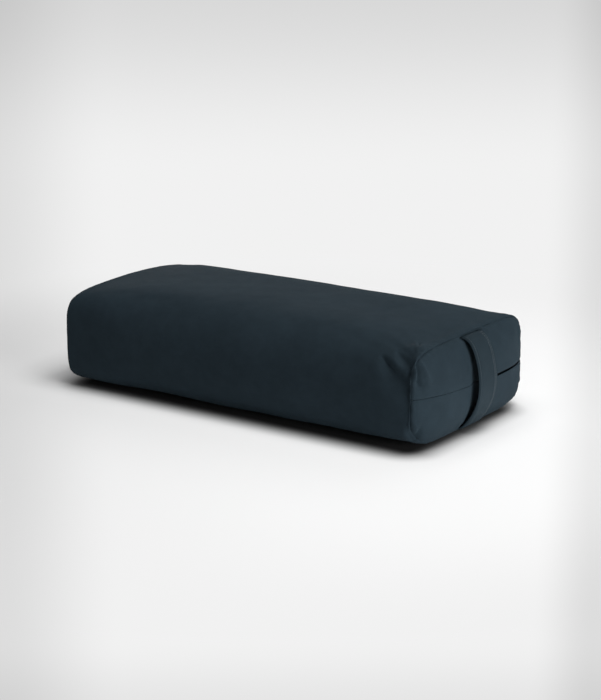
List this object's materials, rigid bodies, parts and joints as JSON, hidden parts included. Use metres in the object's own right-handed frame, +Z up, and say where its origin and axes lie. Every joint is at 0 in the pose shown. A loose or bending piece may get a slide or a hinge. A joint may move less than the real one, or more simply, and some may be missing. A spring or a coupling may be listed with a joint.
{
  "type": "yoga bolster",
  "caption": "Firm rectangular yoga bolster: a dark cloth cover with soft rounded edges, domed ends, a hidden end zip and a flat carry handle at each end.",
  "frame": {"origin": "on the floor, under the middle of the bolster", "axes": "+X along the bolster to the zipped end, +Y across it to the side where the closed zip's slider lies, +Z up"},
  "size_m": [0.6632, 0.305, 0.152],
  "materials": {
    "cover_cloth": "fine matte woven cloth, dark blue-grey",
    "handle_cloth": "the cover's cloth, folded and top-stitched",
    "webbing": "stiff woven webbing, hidden in the handle",
    "zip_tape": "fine herringbone tape",
    "zip_coil": "dyed monofilament coil",
    "zip_metal": "black lacquered die-cast metal",
    "liner_cotton": "plain undyed cotton",
    "wadding": "soft white fibre wadding",
    "foam": "open-cell foam, pale cream"
  },
  "bodies": {
    "bolster": {"cover_body": "cover_cloth", "end_panel_near_upper": "cover_cloth", "end_panel_near_lower": "cover_cloth", "end_panel_far": "cover_cloth", "handle_near_sleeve": "handle_cloth", "handle_near_core": "webbing", "handle_far_sleeve": "handle_cloth", "handle_far_core": "webbing", "zip_tape_upper": "zip_tape", "zip_tape_lower": "zip_tape", "zip_coil_upper": "zip_coil", "zip_coil_lower": "zip_coil", "zip_top_stop_upper": "zip_metal", "zip_top_stop_lower": "zip_metal", "zip_bottom_stop": "zip_metal", "liner_body": "liner_cotton", "liner_near_end": "liner_cotton", "liner_far_end": "liner_cotton", "wadding_wrap": "wadding", "wadding_near_pad": "wadding", "wadding_far_pad": "wadding", "foam_core": "foam"},
    "slider": {"zip_slider": "zip_metal"},
    "pull_tab": {"zip_pull_tab": "zip_metal"}
  },
  "joints": [
    {"name": "slider_travel", "type": "hinge", "parent": "bolster", "child": "slider", "pos_m": [-0.2926, 0, 0.072], "axis": [0, 0.0332, 0.9995], "range_deg": [-21.64, 0]},
    {"name": "tab_swing", "type": "hinge", "parent": "slider", "child": "pull_tab", "pos_m": [0.30598, 0.11743, 0.0681], "axis": [0, 0.0332, 0.9995], "range_deg": [0, 170]}
  ]
}
